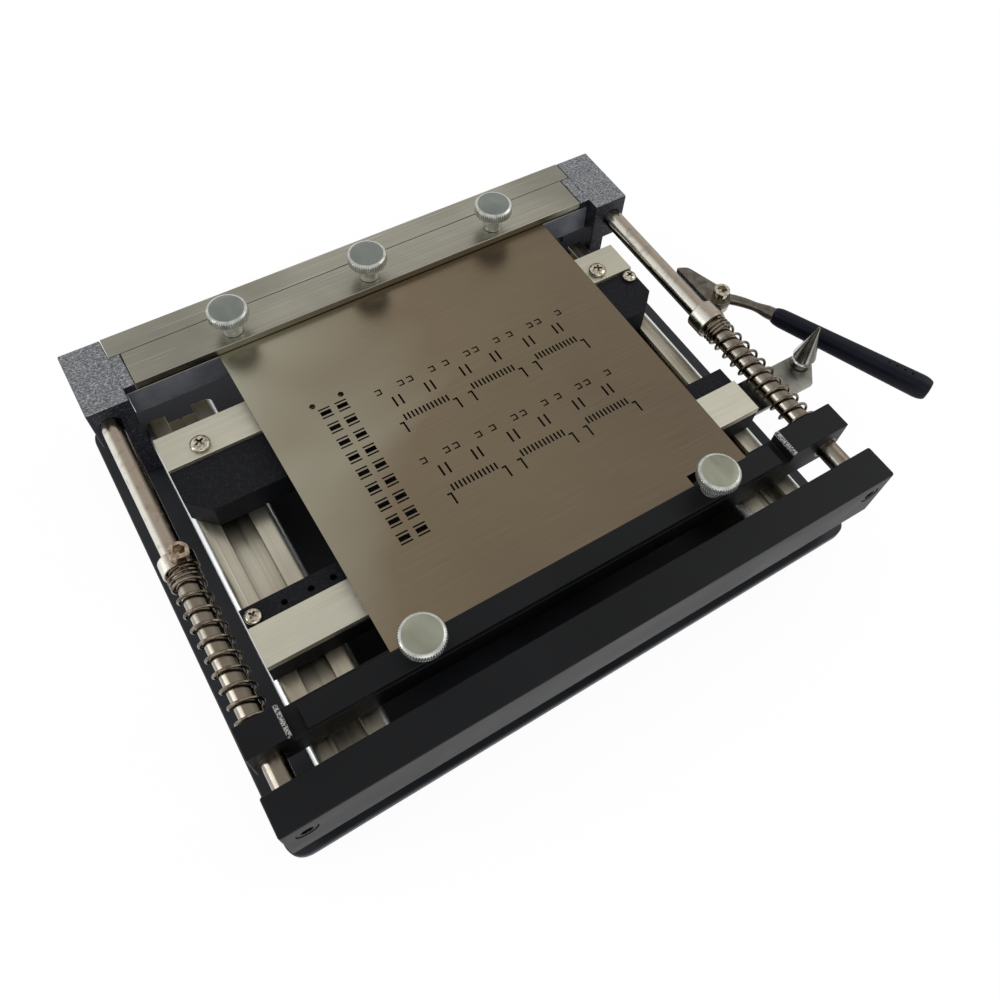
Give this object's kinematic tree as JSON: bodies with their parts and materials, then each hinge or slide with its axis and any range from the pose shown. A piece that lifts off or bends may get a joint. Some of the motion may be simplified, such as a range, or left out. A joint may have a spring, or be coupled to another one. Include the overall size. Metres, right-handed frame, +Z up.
{
  "type": "benchtop stencil printing press",
  "caption": "Flat bench press for printing through a metal stencil: a hinged frame with a spring-tensioned sheet over adjustable board stops on a base plate.",
  "frame": {"origin": "centre of the bounding box's footprint, on the surface that the feet stand on", "axes": "+X to the operator's right, +Y to the rear hinge, +Z up"},
  "size_m": [0.3728, 0.2476, 0.0834],
  "materials": {
    "black_coated_plate": "fine-textured black powder coat on steel plate",
    "textured_black_plastic": "dark, finely grained moulded plastic",
    "black_anodised": "satin black anodised aluminium",
    "milled_aluminium": "mill finish with fine drawn lines along its length",
    "extruded_aluminium": "extruded aluminium with lines along its length",
    "polished_steel": "ground and polished steel",
    "spring_steel": "dark drawn spring wire",
    "stencil_steel": "thin half-bright stainless sheet",
    "zinc_plated": "bright zinc plating",
    "bronze": "plain sintered bronze",
    "rubber": "matte black rubber",
    "grip_vinyl": "soft navy-black vinyl"
  },
  "bodies": {
    "base": {"base_plate": "black_coated_plate", "front_rest": "black_coated_plate", "hinge_bracket_left": "black_coated_plate", "hinge_bracket_right": "black_coated_plate", "foot_front_left": "rubber", "foot_front_right": "rubber", "foot_rear_left": "rubber", "foot_rear_right": "rubber", "rest_pad_left": "rubber", "rest_pad_right": "rubber", "rail_left": "extruded_aluminium", "rail_right": "extruded_aluminium", "rail_screw_rear_left": "zinc_plated", "rail_screw_front_left": "zinc_plated", "rail_screw_rear_right": "zinc_plated", "rail_screw_front_right": "zinc_plated", "rear_bar_screw_left": "zinc_plated", "rear_bar_screw_right": "zinc_plated", "rear_ledge_screw": "zinc_plated", "rear_ledge": "textured_black_plastic", "rear_board_bar": "milled_aluminium", "hinge_pin_left": "polished_steel", "hinge_pin_right": "polished_steel"},
    "front_stop": {"front_ledge": "textured_black_plastic", "front_board_bar": "milled_aluminium", "front_ledge_screw": "zinc_plated", "bar_lock_plate": "zinc_plated", "cone_post": "polished_steel"},
    "frame": {"rear_block_left": "textured_black_plastic", "rear_block_right": "textured_black_plastic", "rear_tube": "milled_aluminium", "stencil": "stencil_steel", "shaft_left": "polished_steel", "shaft_right": "polished_steel", "collar_left": "polished_steel", "collar_screw_left": "zinc_plated", "collar_right": "polished_steel", "lever_pivot_screw": "zinc_plated", "spring_left": "spring_steel", "spring_right": "spring_steel", "front_beam": "black_anodised", "shaft_end_screw_left": "black_anodised", "shaft_end_screw_right": "black_anodised"},
    "slider": {"slide_beam": "black_anodised", "slide_bush_left": "bronze", "slide_bush_right": "bronze"},
    "rear_clamp": {"rear_clamp_strip": "milled_aluminium"},
    "front_clamp": {"front_clamp_bar": "black_anodised"},
    "lever": {"lever_arm": "polished_steel", "lever_grip": "grip_vinyl"},
    "rear_knob_left": {"rear_thumbscrew_left": "zinc_plated"},
    "rear_knob_middle": {"rear_thumbscrew_middle": "zinc_plated"},
    "rear_knob_right": {"rear_thumbscrew_right": "zinc_plated"},
    "front_knob_left": {"front_thumbscrew_left": "zinc_plated"},
    "front_knob_right": {"front_thumbscrew_right": "zinc_plated"}
  },
  "joints": [
    {"name": "frame_hinge", "type": "hinge", "parent": "base", "child": "frame", "pos_m": [-0.03137, 0.11175, 0.024], "axis": [-1, 0, 0], "range_deg": [0, 85]},
    {"name": "tension_slide", "type": "slide", "parent": "frame", "child": "slider", "axis": [0, 1, 0], "range_m": [-0.01, 0.008], "stiffness_N_per_m": 2000, "deforming": ["spring_left", "spring_right"]},
    {"name": "front_stop_slide", "type": "slide", "parent": "base", "child": "front_stop", "axis": [0, 1, 0], "range_m": [-0.008, 0.006]},
    {"name": "rear_clamp_lift", "type": "slide", "parent": "frame", "child": "rear_clamp", "axis": [0, 0, 1], "range_m": [0, 0.0015]},
    {"name": "front_clamp_lift", "type": "slide", "parent": "slider", "child": "front_clamp", "axis": [0, 0, 1], "range_m": [0, 0.0015]},
    {"name": "lever_swing", "type": "hinge", "parent": "frame", "child": "lever", "pos_m": [0.12813, 0.00815, 0.0524], "axis": [0, 0, 1], "range_deg": [0, 8]},
    {"name": "rear_knob_left_turn", "type": "hinge", "parent": "rear_clamp", "child": "rear_knob_left", "pos_m": [-0.10437, 0.09925, 0.0681], "axis": [0, 0, 1], "continuous": true},
    {"name": "rear_knob_middle_turn", "type": "hinge", "parent": "rear_clamp", "child": "rear_knob_middle", "pos_m": [-0.03137, 0.09925, 0.0681], "axis": [0, 0, 1], "continuous": true},
    {"name": "rear_knob_right_turn", "type": "hinge", "parent": "rear_clamp", "child": "rear_knob_right", "pos_m": [0.04163, 0.09925, 0.0681], "axis": [0, 0, 1], "continuous": true},
    {"name": "front_knob_left_turn", "type": "hinge", "parent": "front_clamp", "child": "front_knob_left", "pos_m": [-0.10437, -0.08745, 0.0681], "axis": [0, 0, 1], "continuous": true},
    {"name": "front_knob_right_turn", "type": "hinge", "parent": "front_clamp", "child": "front_knob_right", "pos_m": [0.04163, -0.08745, 0.0681], "axis": [0, 0, 1], "continuous": true}
  ]
}
